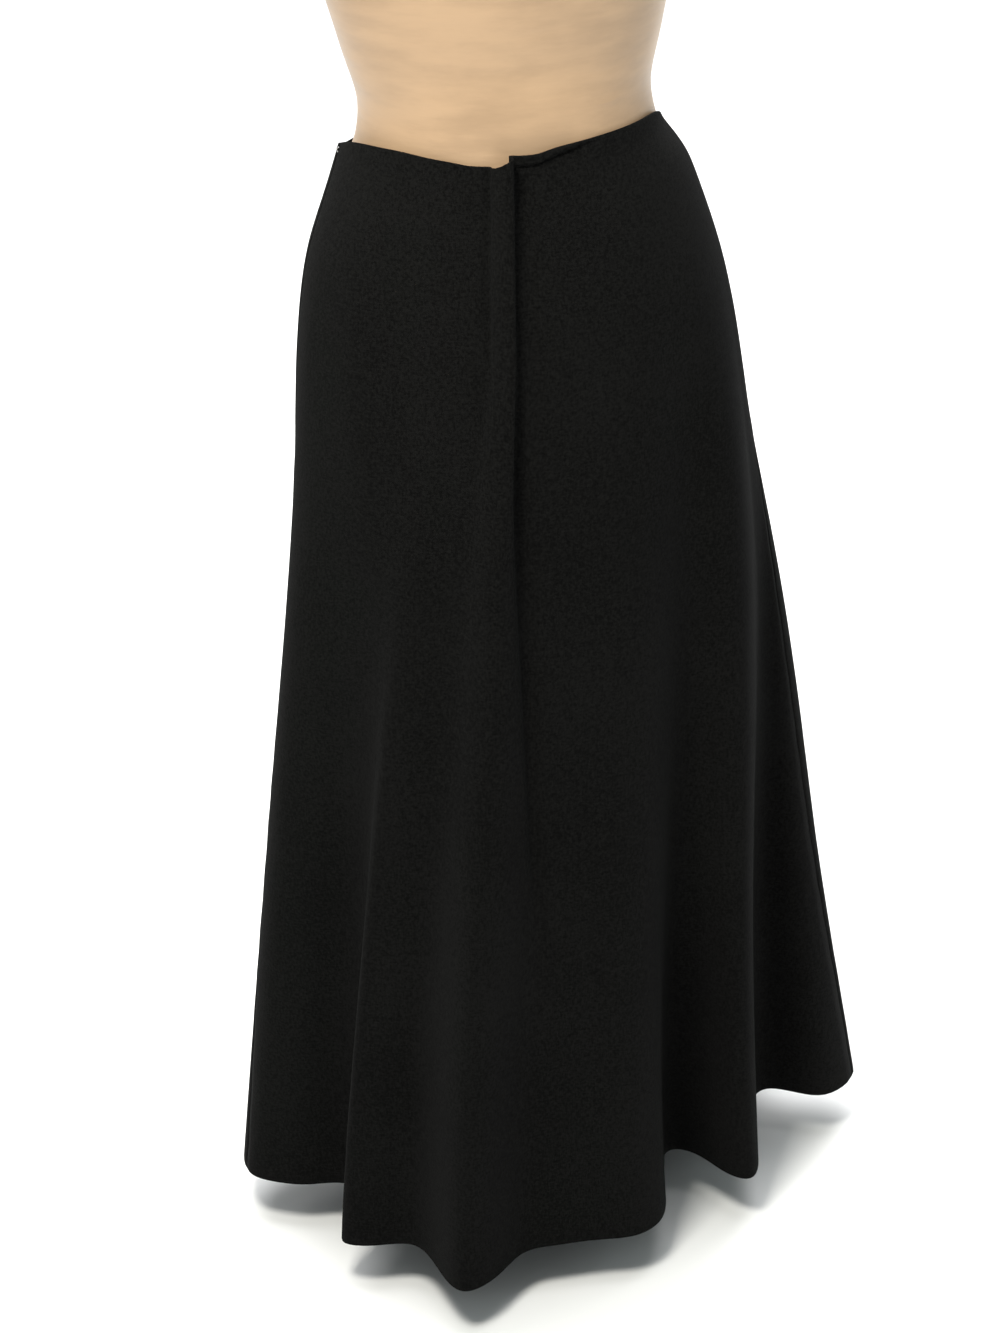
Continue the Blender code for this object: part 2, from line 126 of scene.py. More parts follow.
# The hem in plan, and the drop from which each fold grows
HEM_FOLDS = table(
    "turn x y start",
    (-90, -290, -10, 164),
    (-84, -272, -34, 164),
    (-79, -244, -47, 184),
    (-72, -208, -52, 214),
    (-66, -184, -73, 234),
    (-60, -196, -106, 234),
    (-54, -218, -138, 214),
    (-48, -190, -153, 194),
    (-42, -154, -161, 174),
    (-36, -138, -204, 164),
    (-29.5, -122, -235, 154),
    (-23, -92, -222, 154),
    (-16.5, -66, -194, 154),
    (-9, -34, -187, 164),
    (-3, 2, -188, 174),
    (3, 36, -190, 174),
    (8.5, 61, -175, 164),
    (17, 75, -126, 144),
    (26, 90, -71, 134),
    (32, 112, -80, 134),
    (38.5, 132, -112, 144),
    (45.5, 155, -127, 164),
    (52, 168, -97, 174),
    (60, 174, -48, 174),
    (67.5, 185, -4, 174),
    (73.5, 203, 8, 174),
    (79, 226, -5, 174),
    (84, 252, -15, 174),
    (90, 284, 10, 174),
    (99, 272, 52, 174),
    (108, 232, 66, 184),
    (116, 210, 99, 194),
    (125, 222, 143, 194),
    (133, 190, 170, 184),
    (141, 146, 158, 184),
    (150, 116, 185, 174),
    (158, 92, 222, 174),
    (165, 58, 219, 174),
    (173, 28, 184, 184),
    (181, -12, 181, 184),
    (190, -50, 208, 174),
    (198, -88, 221, 174),
    (206, -118, 190, 184),
    (214, -146, 158, 194),
    (222, -188, 164, 194),
    (231, -228, 164, 184),
    (240, -236, 121, 184),
    (248, -224, 83, 184),
    (256, -254, 57, 174),
    (264, -286, 30, 164),
)

# How far round each fold starts at the waist from where it meets the hem
FOLD_SLANT = table(
    "turn start",
    (-90, 24),
    (-50, 34),
    (-10, 24),
    (30, 19),
    (80, 17),
    (180, 18),
)
SLANT_POWER = 1.5

# The pinched fold at the centre back, at the waist edge
PINCH_PROFILE = table(
    "turn across out",
    (-11, -25.3, 0),
    (-9, -17, 0),
    (-7, -9.5, 0.6),
    (-5.2, -7, 5.5),
    (-3.2, -4, 11),
    (-1, 1, 15.5),
    (1.2, 6, 17.2),
    (3, 9, 15.5),
    (4.6, 9, 10),
    (6.2, 7.6, 4),
    (7.8, 8.6, 0.8),
    (9.4, 14, 0),
    (11.5, 26.5, 0),
)

# The profile's turns over which its left stretch passes into its right one
CREST_WIDTH = 6.0

# The cloth's width to a degree of turn at the waist edge, and how much wider that is at the hem
MM_PER_TURN = 2.3
TURN_WIDENING = 2.9

# How the pinched fold runs down the skirt
PINCH_RUN = table(
    "drop turn height left right",
    (0, -8.7, 1.00, 1.0, 1.0),
    (100, -9.0, 0.92, 1.0, 1.0),
    (190, -9.4, 0.84, 1.4, 1.0),
    (280, -12.3, 0.70, 1.8, 1.15),
    (450, -17.6, 0.42, 2.2, 2.0),
    (600, -21.4, 0.28, 2.8, 2.7),
    (760, -24.0, 0.14, 3.4, 3.2),
    (968, -25.0, 0.00, 4.0, 3.5),
)

# Creases and soft swells laid on the drape: a row runs from one place on the cloth to
# another, so many millimetres wide, and stands out or, below nought, sinks in.
CREASES = table(
    "turn_a level_a turn_b level_b wide out",
    # left of the pinched fold
    (-40, 12, -32, 300, 13, -2.0),
    (-54, 50, -49, 430, 24, 1.6),
    (-15.6, -60, -14.8, 230, 2.0, -1.6),
    (-14, 10, -33, 66, 5, 0.9),
    (-15, 26, -27, 130, 6, -0.8),
    (-19, 150, -26, 420, 12, 1.1),
    (-76, 90, -81, 620, 20, 1.2),
    (-62, 300, -66, 760, 16, -1.2),
    # right of it, in the cloth that it pulls
    (1, 22, 20, 160, 7, 0.8),
    (-3.8, 110, -7.6, 300, 5, -2.2),
    (0.6, -70, -1.4, 270, 2.6, -2.0),
    (-5.5, 170, -9.2, 730, 6, -7.2),
    (22, 40, 34, 330, 18, 1.2),
    (8, 300, 12, 760, 26, -1.6),
    (52, 60, 60, 480, 22, 1.3),
    (72, 120, 76, 560, 14, -1.0),
    # the lower folds
    (-37.5, 430, -51, 940, 12, -3.0),
    (-29, 500, -35, 955, 26, 2.4),
    (-24, 520, -26, 955, 16, 1.4),
    (-6, 640, -8, 960, 18, -1.4),
    (2, 600, 4, 960, 20, 1.0),
    (40, 500, 44, 940, 14, 1.0),
    # the front
    (112, 60, 120, 520, 20, 1.3),
    (140, 30, 148, 420, 16, -1.3),
    (164, 40, 166, 520, 22, 1.4),
    (186, 60, 190, 460, 18, -1.2),
    (212, 40, 206, 480, 20, 1.3),
    (238, 60, 232, 560, 18, -1.2),
    (176, 480, 178, 950, 16, 1.2),
    (150, 520, 152, 950, 14, -1.0),
    (224, 520, 226, 940, 14, 1.0),
)

# How sharply a crease fades at its ends, and the slow swell between creases
CREASE_FADE = 0.7
SWELL_RISE = 0.8
SWELL_WAVES = 13
SWELL_LEAN = 0.004

# The groove along each side seam and the pucker beside it
GROOVE_WIDTH = 1.7
GROOVE_DEPTH = 0.55
PUCKER_WIDTH = 8
PUCKER_RISE = 0.22
PUCKER_STEP = 7.5
PUCKER_DRIFT = 31

# Where the pinched cloth laps over itself, right of the fold at the waist edge
LAP_TURNS = (1.0, 29.0)
LAP_LEVEL = 8.5
LAP_RISE = 2.2
LAP_STEP = 0.9
LAP_DRAWN = 0.6
LAP_FADE = 4.0
LAP_STARTS = 12
LAP_ENDS = 2.5

# The meshes of the panels: their rows down, of which the first few lie close together, the steps
# round the hem, and their columns, closest at the pinched fold, which they follow on its way down
PANEL_ROWS = 150
EDGE_ROWS = 18
EDGE_END = 22.0
HEM_STEPS = 4
BACK_COLUMNS = table(
    "first last step",
    (-90, -22, 1.1),
    (-22, 3, 0.34),
    (3, 31, 0.5),
    (31, 89, 1.1),
)
FRONT_COLUMNS = 180
FOLLOW_WIDTH = 26

# The level from which the cloth's inner face takes the creases in full, and its least share of them
INNER_LEVEL = 120
INNER_LEAST = 0.2

# The side closing
ZIP_LENGTH = 180.0
ZIP_TAPE_WIDTH = 24.0
ZIP_SLIT = 2.6
SLIT_END = ZIP_LENGTH + 2
SLIT_CLOSING = 14
COIL_TOP = 12
COIL_PITCH = 1.5
COIL_WIRE = 0.27
COIL_ASIDE = 0.52
COIL_REACH = 0.78
COIL_RISE = 0.42
TAPE_THICKNESS = 0.55
TAPE_DEPTH = 2.35
TAPE_BACK = 0.2
TAPE_DIP = 0.35
SLIDER_LEVEL = 10.0
SLIDER_LONG = 4.0
SLIDER_WIDE = 2.1
SLIDER_TALL = 0.95
SLIDER_ENDS = 0.5
SLIDER_SIDES = 0.6
SLIDER_TAPER = 0.28
HOOK_LEVEL = 7.0
HOOK_WIRE = 0.45
HOOK_THIN = 0.72
HOOK_REACH = 0.95
HOOK_RISE = 0.8
HOOK_LIFT = 0.25

# One arm of each bent wire, from its sewn end to its middle; the other arm is its mirror image
HOOK_BENDS = table(
    "along down out",
    (-5.0, 1.2, 0.0),
    (-3.6, 1.9, 0.2),
    (-1.6, 0.7, 1.0),
    (0.6, 0.5, 1.6),
    (1.5, 0.35, 0.9),
    (0.9, 0.2, 0.3),
)
EYE_BENDS = table(
    "along down out",
    (5.0, 1.3, 0.0),
    (4.1, 2.0, 0.1),
    (3.0, 1.2, 0.4),
    (1.3, 1.1, 0.6),
    (0.8, 0.4, 0.6),
)

# The dress form
BODY_SECTIONS = table(
    "height side back front",
    (700, 116, 82, 76),
    (712, 139, 99, 92),
    (740, 157, 112, 104),
    (780, 170, 121, 114),
    (830, 176.5, 125.5, 119),
    (880, 168.5, 120, 116.5),
    (920, 157.5, 114.5, 112.5),
    (955, 144, 108.5, 107),
    (980, 132, 103, 102.5),
    (1000, 122.5, 99.8, 98.5),
    (1016, 118.5, 97.5, 96.5),
    (1035, 117.5, 95, 95),
    (1066, 124.5, 92, 97),
    (1095, 131.5, 93, 100),
    (1127, 139, 95, 105),
    (1180, 147, 99, 111),
    (1225, 150, 103, 113),
    (1270, 153, 107, 106),
    (1315, 161, 107, 94),
    (1350, 166, 100, 80),
    (1378, 158, 86, 68),
    (1398, 128, 73, 60),
    (1412, 88, 64, 55),
    (1430, 62, 57, 52),
    (1460, 54, 53, 50),
    (1500, 53, 52, 50),
)
BUST_HEIGHT = 1212.0
BUST_SPACING = 74.0
BUST_RISE = 27.0
BUST_WIDTH = 52.0
BUST_TALL = 62.0
MARK_COUNT = 150
MARK_SEED = 7
MARK_RADIUS = 118
MARK_HEIGHTS = (1000, 1400)
MARK_LONG = (7, 24)
MARK_WIDE = (1.3, 2.6)
MARK_RISE = (-0.25, 0.4)
MARK_TILT = 0.16
MARK_BEND = 0.006

# The rings of the form's mesh, closest where wrinkles show
FORM_ROWS = table(
    "first last count",
    (700, 985, 60),
    (987, 1400, 190),
    (1403, 1500, 30),
)
FORM_COLUMNS = 200

# The stand: a row is a corner of the turned outline, and how far it is rounded off
NECK_CAP = table(
    "radius height round",
    (0, 1500.3, 0),
    (54, 1500.3, 1.5),
    (56, 1502.5, 1),
    (56, 1507, 2.2),
    (48, 1509.3, 6),
    (0, 1509.3, 0),
)
SOCKET = table(
    "radius height round",
    (0, 685.7, 0),
    (21, 685.7, 1),
    (34, 690.7, 2.5),
    (42, 695.7, 2.5),
    (42, 699.7, 1),
    (0, 699.7, 0),
)
POLE = table(
    "radius height round",
    (0, 46.3, 0),
    (15, 46.3, 0.8),
    (15, 685.4, 0.8),
    (0, 685.4, 0),
)
BASE = table(
    "radius height round",
    (0, 0, 0),
    (96, 0, 0.5),
    (98, 2, 1),
    (98, 12, 2.5),
    (94, 16, 2.5),
    (33, 16, 2.5),
    (27, 20, 2.5),
    (24, 42, 2.5),
    (17, 46, 1.5),
    (0, 46, 0),
)

# The studio's light, in metres and watts
AIR_COLOUR = (0.93, 1, 0.99, 1)
AIR_STRENGTH = 0.34
LAMPS = table(
    "name place aimed size power colour",
    ("key light", (-0.55, -1.0, 2.5), (0, -0.1, 1.0), 0.5, 50, (1, 0.98, 0.9)),
    ("top light", (0.2, 1.8, 5.0), (0, 1.5, 0), 5.0, 430, (1, 1, 1)),
    ("right light", (2.7, -0.2, 1.8), (0, 0, 0.9), 1.2, 6, (0.85, 1, 1)),
    ("left light", (-2.3, 2.4, 2.0), (0, 0, 0.8), 1.2, 30, (1, 1, 1)),
    ("far light", (2.0, 2.6, 2.4), (0, 0, 0.8), 1.6, 60, (1, 1, 1)),
)

# The camera, from the waist edge's plan, its sides and the hem in the photograph
CAMERA_ROUND = 8.0
CAMERA_DISTANCE = 2.5266
CAMERA_HEIGHT = 1.7747
CAMERA_ASIDE = -0.0065
CAMERA_PITCH = 26.369
CAMERA_ROLL = -3.270
CAMERA_PAN = -0.539
CAMERA_LENS = 88.30


def smooth_curve(at, values, wanted, period=None):
    """Values at the wanted places, on the cubic spline through the given rows."""
    at, values, wanted = (np.asarray(numbers, float) for numbers in (at, values, wanted))
    if period:
        wanted = at[0] + np.mod(wanted - at[0], period)
        at = np.append(at, at[0] + period)
        values = np.append(values, values[0])
    count = len(at)
    gap = np.diff(at)
    slope = np.diff(values) / gap
    inner = np.arange(1, count - 1)
    matrix = np.zeros((count, count))
    matrix[inner, inner - 1] = gap[1:]
    matrix[inner, inner] = 2 * (gap[:-1] + gap[1:])
    matrix[inner, inner + 1] = gap[:-1]
    right = np.zeros(count)
    right[inner] = 3 * (gap[1:] * slope[:-1] + gap[:-1] * slope[1:])
    if period:
        matrix[0, 0] = 2 * (gap[0] + gap[-1])
        matrix[0, 1] = gap[-1]
        matrix[0, -2] = gap[0]
        right[0] = 3 * (gap[0] * slope[-1] + gap[-1] * slope[0])
        matrix[-1, 0] = -1
        matrix[-1, -1] = 1
    else:
        matrix[0, 0] = matrix[-1, -1] = 1
        right[0], right[-1] = slope[0], slope[-1]
    tangent = np.linalg.solve(matrix, right)
    i = np.clip(np.searchsorted(at, wanted, side="right") - 1, 0, count - 2)
    t = (wanted - at[i]) / gap[i]
    return (
        (1 + 2 * t) * (1 - t) ** 2 * values[i]
        + t * (1 - t) ** 2 * gap[i] * tangent[i]
        + t * t * (3 - 2 * t) * values[i + 1]
        + t * t * (t - 1) * gap[i] * tangent[i + 1]
    )


def looked_up(rows, by, name, wanted, period=None):
    """One named column of a table, as a smooth curve over another of its columns."""
    at = [getattr(row, by) for row in rows]
    values = [getattr(row, name) for row in rows]
    return smooth_curve(at, values, wanted, period)


def row_at(rows, wanted):
    """A table's row at the wanted places, on smooth curves over its first column."""
    by, *names = rows[0]._fields
    return rows[0]._make([wanted, *(looked_up(rows, by, name, wanted) for name in names)])


def unit(vectors):
    """Vectors made one long."""
    return vectors / np.linalg.norm(vectors, axis=-1, keepdims=True)


def circle_steps(count):
    """Even angles round a circle."""
    return np.linspace(0, 2 * np.pi, count, endpoint=False)


def section_point(turn, drop):
    """The plain cloth: x = side * sin(turn), y = -back * cos(turn), each reach read at that drop."""
    reach = row_at(CLOTH_SECTIONS, drop)
    angle = np.radians(turn)
    across, along = np.sin(angle), -np.cos(angle)
    x = across * np.where(across < 0, reach.left, reach.right)
    y = along * np.where(along < 0, reach.back, reach.front)
    return x, y


def fold_growth(turn, drop):
    """How much of the hem's fold is there: s * s / (s + 0.12), s the share of the way to the hem."""
    start = looked_up(HEM_FOLDS, "turn", "start", turn, 360)
    share = np.clip((drop - start) / (SKIRT_LENGTH - start), 0, None)
    soft = 0.12
    return share * share / (share + soft) * (1 + soft)


def pinch_shift(turn, drop):
    """How far the pinched fold moves the cloth across and out: its profile, stretched sideways and
    lowered as its run down the skirt says, its overhang by the square of that. Over the crest a
    smooth step leads from the left stretch to the right one."""
    run = row_at(PINCH_RUN, drop)
    side = looked_up(CLOTH_SECTIONS, "drop", "left", drop)
    away = turn - run.turn
    wider = np.where(away < 0, run.left, run.right)
    place = away * np.radians(side) / (wider * MM_PER_TURN)
    inside = np.clip(place, PINCH_PROFILE[0].turn, PINCH_PROFILE[-1].turn)
    across = looked_up(PINCH_PROFILE, "turn", "across", inside) - MM_PER_TURN * inside
    out = looked_up(PINCH_PROFILE, "turn", "out", inside)
    here = place == inside
    leftward = np.clip(0.5 - place / CREST_WIDTH, 0, 1)
    leftward = leftward * leftward * (3 - 2 * leftward)
    stretch = run.right + (run.left - run.right) * leftward
    across = np.where(here, across * stretch, 0) * run.height**2
    return across, np.where(here, out, 0) * run.height


def drape_point(turn, level):
    """The cloth's outer face, on the solids' own form: the plain section at the drop, plus the
    growing share of the hem fold's step from its plain section, plus the pinched fold."""
    dip = looked_up(WAIST_EDGE, "turn", "dip", turn, 360)
    drop = level + dip * np.clip(1 - level / EDGE_REACH, 0, 1)
    x, y = section_point(turn, drop)
    above = np.clip(1 - drop / SKIRT_LENGTH, 0, 1)
    at_hem = turn - looked_up(FOLD_SLANT, "turn", "start", turn, 360) * above**SLANT_POWER
    plain_x, plain_y = section_point(at_hem, np.full_like(drop, SKIRT_LENGTH))
    grown = fold_growth(at_hem, drop)
    x = x + grown * (looked_up(HEM_FOLDS, "turn", "x", at_hem, 360) - plain_x)
    y = y + grown * (looked_up(HEM_FOLDS, "turn", "y", at_hem, 360) - plain_y)
    across, out = pinch_shift(turn, drop)
    angle = np.radians(turn)
    x = x + np.cos(angle) * across + np.sin(angle) * out
    y = y + np.sin(angle) * across - np.cos(angle) * out
    return np.stack([x, y, WAIST_HEIGHT - drop], axis=-1)


def drape_normal(turn, level):
    """The cloth's outward direction: the cross product of its slopes down and across."""
    across = drape_point(turn + 0.1, level) - drape_point(turn - 0.1, level)
    down = drape_point(turn, level + 0.4) - drape_point(turn, level - 0.4)
    return unit(np.cross(down, across))


def turn_width(level):
    """Millimetres of cloth to a degree of turn."""
    return MM_PER_TURN + TURN_WIDENING * level / SKIRT_LENGTH


def lapped_edge(turn, level):
    """Right of the pinched fold the cloth laps over itself: above a line that rises to the waist
    edge it stands out by LAP_RISE, and just under the line it is drawn in as exp(-depth / LAP_FADE);
    both fade to the line's end."""
    share = (turn - LAP_TURNS[0]) / (LAP_TURNS[1] - LAP_TURNS[0])
    above = LAP_LEVEL * (1 - share) - level
    step = np.clip(above / LAP_STEP + 0.5, 0, 1)
    drawn = LAP_DRAWN * (1 - step) * np.exp(-np.clip(-above, 0, None) / LAP_FADE)
    fade = np.clip(share * LAP_STARTS + 1, 0, 1) * np.clip((1 - share) * LAP_ENDS, 0, 1)
    return LAP_RISE * (step - drawn) * fade


def crease_relief(turn, level):
    """How far the creases stand out: each is out * exp(-(d / wide)^2) of the distance d from its
    line, faded to nothing at both ends. Added are a slow swell that grows towards the hem, the side
    seams' groove and pucker, and the lapped edge."""
    width = turn_width(level)
    x, y = turn * width, level
    swell = np.sin(np.radians(turn) * SWELL_WAVES + level * SWELL_LEAN)
    relief = SWELL_RISE * (level / SKIRT_LENGTH) * swell
    for row in CREASES:
        ax, ay = row.turn_a * turn_width(row.level_a), row.level_a
        bx, by = row.turn_b * turn_width(row.level_b), row.level_b
        long = math.hypot(bx - ax, by - ay)
        tx, ty = (bx - ax) / long, (by - ay) / long
        along = ((x - ax) * tx + (y - ay) * ty) / long
        away = (x - ax) * ty - (y - ay) * tx
        fade = np.sin(np.pi * np.clip(along, 0, 1)) ** CREASE_FADE
        relief = relief + row.out * fade * np.exp(-((away / row.wide) ** 2))
    from_seam = np.abs(np.mod(turn, 180) - 90) * width
    groove = np.exp(-((from_seam / GROOVE_WIDTH) ** 2))
    pucker = np.exp(-((from_seam / PUCKER_WIDTH) ** 2))
    pucker = pucker * np.sin(level / PUCKER_STEP + np.sin(level / PUCKER_DRIFT))
    return relief - GROOVE_DEPTH * groove + PUCKER_RISE * pucker + lapped_edge(turn, level)


def wall_thickness(level):
    """One layer of cloth, rising over HEM_STEP to two layers where the hem is turned up inside."""
    step = np.clip((level - (SKIRT_LENGTH - HEM_DEPTH)) / HEM_STEP, 0, 1)
    return CLOTH + (TURNED_HEM - CLOTH) * step * step * (3 - 2 * step)


def wall_outline(rows, corner):
    """A closed line round the cut edge of the cloth, as (level, inside): down the outer face, round
    the hem in a half circle, up the inner face and round the waist edge."""
    top, hem = CLOTH / 2, TURNED_HEM / 2
    spread = np.linspace(0, 1, rows - EDGE_ROWS + 1)[1:]
    down = np.concatenate([
        np.linspace(top, EDGE_END, EDGE_ROWS),
        EDGE_END + (SKIRT_LENGTH - hem - EDGE_END) * (spread - 0.09 * np.sin(2 * np.pi * spread)),
    ])
    bend = np.linspace(0, np.pi, corner + 2)[1:-1]
    level = np.concatenate([
        down, SKIRT_LENGTH - hem + hem * np.sin(bend), down[::-1], top - top * np.sin(bend),
    ])
    inside = np.concatenate([
        0 * down, (1 - np.cos(bend)) / 2, 0 * down + 1, (1 + np.cos(bend)) / 2,
    ])
    return level, inside


def mesh_object(name, points, faces, finish, uv=None, sharp=55):
    """A smooth mesh object from points in millimetres, its faces and its finish: edges that turn by
    more than sharp degrees stay sharp."""
    mesh = bpy.data.meshes.new(name)
    mesh.from_pydata((np.asarray(points).reshape(-1, 3) * MM).tolist(), [], faces)
    mesh.shade_smooth()
    mesh.set_sharp_from_angle(angle=math.radians(sharp))
    if uv is not None:
        loops = np.empty(len(mesh.loops), np.int32)
        mesh.loops.foreach_get("vertex_index", loops)
        layer = mesh.uv_layers.new(name="weave")
        layer.uv.foreach_set("vector", np.asarray(uv).reshape(-1, 2)[loops].astype(np.float32).ravel())
    mesh.materials.append(finish)
    obj = bpy.data.objects.new(name, mesh)
    bpy.context.scene.collection.objects.link(obj)
    return obj


def grid_faces(rows, columns, rows_closed=False, columns_closed=False):
    """Quads of a grid, facing the cross product of its row step and its column step."""
    i = np.arange(rows if rows_closed else rows - 1)[:, None]
    j = np.arange(columns if columns_closed else columns - 1)[None, :]
    below, beside = (i + 1) % rows, (j + 1) % columns
    corners = [i * columns + j, below * columns + j, below * columns + beside, i * columns + beside]
    return np.stack([c + 0 * i + 0 * j for c in corners], axis=-1).reshape(-1, 4)


def end_faces(rows, corner, columns):
    """Quads over a wall's two cut ends, each from a step of its outer face to the inner face."""
    outer = np.arange(-corner // 2, rows + corner // 2)
    inner = 2 * rows + corner - 1 - outer
    outer = outer % (2 * (rows + corner))
    first = np.stack([outer[:-1], inner[:-1], inner[1:], outer[1:]], axis=-1) * columns
    return np.concatenate([first, first[:, ::-1] + columns - 1])


def cloth_panel(name, turns, closing_at, finish):
    """A skirt panel: the wall outline carried round the drape from seam to seam."""
    level, inside = wall_outline(PANEL_ROWS, HEM_STEPS)
    level, inside = level[:, None], inside[:, None]
    share = (turns - turns[0]) / (turns[-1] - turns[0])
    width = turn_width(level)
    closed = np.clip((level - SLIT_END) / SLIT_CLOSING, 0, 1)
    slit = (1 - closed) * ZIP_SLIT / 2 + closed * SEAM_GAP / 2
    first = turns[0] + (slit if closing_at == "first" else SEAM_GAP / 2) / width
    last = turns[-1] - (slit if closing_at == "last" else SEAM_GAP / 2) / width
    turn = first + (last - first) * share[None, :]
    level = level + 0 * turn
    followed = looked_up(PINCH_RUN, "drop", "turn", level) - PINCH_RUN[0].turn
    turn = turn + followed * np.exp(-(((turn - PINCH_RUN[0].turn) / FOLLOW_WIDTH) ** 2))
    normal = drape_normal(turn, level)
    flat = normal * (1, 1, 0)
    inward = -flat / np.sum(flat * flat, axis=-1, keepdims=True)
    kept = 1 - np.clip(level / INNER_LEVEL, INNER_LEAST, 1)
    relief = crease_relief(turn, level) * (1 - kept * inside)
    points = (
        drape_point(turn, level)
        + normal * relief[..., None]
        + inward * (wall_thickness(level) * inside)[..., None]
    )
    steps = np.linalg.norm(np.diff(points, axis=1), axis=-1)
    u = np.concatenate([np.zeros((len(points), 1)), np.cumsum(steps, axis=1)], axis=1)
    u = u - u[:, [points.shape[1] // 2]]
    faces = np.concatenate([
        grid_faces(len(points), len(turns), rows_closed=True),
        end_faces(PANEL_ROWS, HEM_STEPS, len(turns)),
    ])
    return mesh_object(name, points, faces.tolist(), finish, np.stack([u, level], axis=-1) * MM, 180)


class Shade:
    """A value that changes over a surface. Sums on it add the Math nodes that work them out."""

    def __init__(self, finish, socket):
        self.finish = finish
        self.socket = socket

    def sum(self, operation, *values):
        return self.finish.node("ShaderNodeMath", {"operation": operation}, dict(enumerate(values)))

    def __add__(self, other):
        return self.sum("ADD", self, other)

    def __mul__(self, other):
        return self.sum("MULTIPLY", self, other)

    __radd__ = __add__
    __rmul__ = __mul__


class Finish:
    """One material and its nodes."""

    def __init__(self, name, **fixed):
        self.material = bpy.data.materials.new(name)
        self.material.use_nodes = True
        self.tree = self.material.node_tree
        self.shader = self.tree.nodes["Principled BSDF"]
        for socket, value in fixed.items():
            self.shader.inputs[socket.replace("_", " ")].default_value = value

    def node(self, kind, settings=None, values=None, output=0):
        """Adds a node: its settings are set before its sockets."""
        made = self.tree.nodes.new(kind)
        for name, value in (settings or {}).items():
            setattr(made, name, value)
        for name, value in (values or {}).items():
            if isinstance(value, Shade):
                self.tree.links.new(value.socket, made.inputs[name])
            else:
                made.inputs[name].default_value = value
        return Shade(self, made.outputs[output])

    def feed(self, socket, value):
        self.tree.links.new(value.socket, self.shader.inputs[socket])

    def place(self, scale=(1, 1, 1), turn=(0, 0, 0), uv=False):
        """A point on the surface, from the object's own coordinates or its weave map, scaled."""
        if uv:
            point = self.node("ShaderNodeUVMap", {"uv_map": "weave"})
        else:
            point = self.node("ShaderNodeTexCoord", output="Object")
        return self.node("ShaderNodeMapping", None, {"Vector": point, "Scale": scale, "Rotation": turn})

    def noise(self, size, detail=3.0, rough=0.5, **place):
        """Soft patches, so many to the metre, stretched and turned as their place says."""
        point = self.place(**place)
        return self.node(
            "ShaderNodeTexNoise", None,
            {"Vector": point, "Scale": size, "Detail": detail, "Roughness": rough}, "Fac",
        )

    def threads(self, point, direction, scale=0.5):
        """Even ridges across the point's X or Y, from 0 to 1 and back at each one."""
        return self.node(
            "ShaderNodeTexWave", {"bands_direction": direction}, {"Vector": point, "Scale": scale}, "Fac",
        )

    def blend(self, amount, low, high):
        """A colour between two, by an amount from 0 to 1."""
        factor, first, second, result = 0, 6, 7, 2
        return self.node(
            "ShaderNodeMix", {"data_type": "RGBA"},
            {factor: amount, first: (*low, 1), second: (*high, 1)}, result,
        )

    def tint(self, amount, colour, low, high):
        """The base colour: from low times a colour to high times it, by an amount from 0 to 1."""
        shades = [tuple(min(channel * by, 1) for channel in colour) for by in (low, high)]
        self.feed("Base Color", self.blend(amount, *shades))

    def bump(self, height, distance, strength=1.0):
        self.feed("Normal", self.node(
            "ShaderNodeBump", None, {"Height": height, "Distance": distance, "Strength": strength}
        ))


def ramped(finish, value, low, high):
    """A value cut to 0 below low and 1 above high, smooth between."""
    return finish.node(
        "ShaderNodeMapRange", {"interpolation_type": "SMOOTHSTEP"},
        {"Value": value, "From Min": low, "From Max": high},
    )


def wool_finish(colour, pitch):
    """Black wool-like cloth: a fine plain weave of uneven threads under a short nap."""
    finish = Finish(
        "black wool cloth", IOR=1.45, Specular_IOR_Level=0.03, Sheen_Weight=0.007, Sheen_Roughness=0.7,
    )
    weave = finish.place(scale=(1 / pitch, 1 / pitch, 1), uv=True)
    warp, weft = (finish.threads(weave, direction) for direction in "XY")
    slub_across = finish.noise(1.0, 2.0, scale=(0.14 / pitch, 0.7 / pitch, 1), uv=True)
    slub_down = finish.noise(1.0, 2.0, scale=(0.7 / pitch, 0.14 / pitch, 1), uv=True)
    nap = finish.noise(1100.0, 4.0, 0.7)
    fluff = finish.noise(430.0, 3.0, 0.6)
    cloud = finish.noise(6.0, 4.0)
    threads = warp * weft * 0.5 + slub_across * 0.6 + slub_down * 0.5
    grain = slub_down * 0.2 + slub_across * 0.2 + fluff * 0.5 + nap * 0.1
    tone = ramped(finish, grain * 0.85 + cloud * 0.15, 0.40, 0.60)
    finish.tint(tone, colour, 0.5, 1.6)
    finish.feed("Roughness", 0.88 + nap * 0.1)
    finish.bump(threads * 0.5 + nap * 0.5, 0.0006, 0.6)
    return finish.material


def form_finish(colour):
    """The form's cream skin: a half-gloss coat over faint level wrinkles and small specks."""
    finish = Finish("cream form skin", IOR=1.48, Coat_Roughness=0.22, Coat_Weight=0.18)
    cloud = finish.noise(9.0, 4.0, scale=(1, 1, 1.6))
    streak = finish.noise(1.0, 4.0, 0.6, scale=(14, 14, 70), turn=(0.04, 0.1, 0))
    wrinkle = finish.noise(1.0, 3.0, 0.6, scale=(30, 30, 170), turn=(-0.05, 0.14, 0))
    grain = finish.noise(260.0, 3.0, 0.6)
    tone = ramped(finish, cloud * 0.6 + streak * 0.4, 0.34, 0.66)
    finish.tint(tone, colour, 0.85, 1.1)
    finish.feed("Roughness", 0.34 + streak * 0.2)
    finish.bump(streak * 0.6 + wrinkle * 0.35 + grain * 0.05, 0.0016, 0.35)
    return finish.material


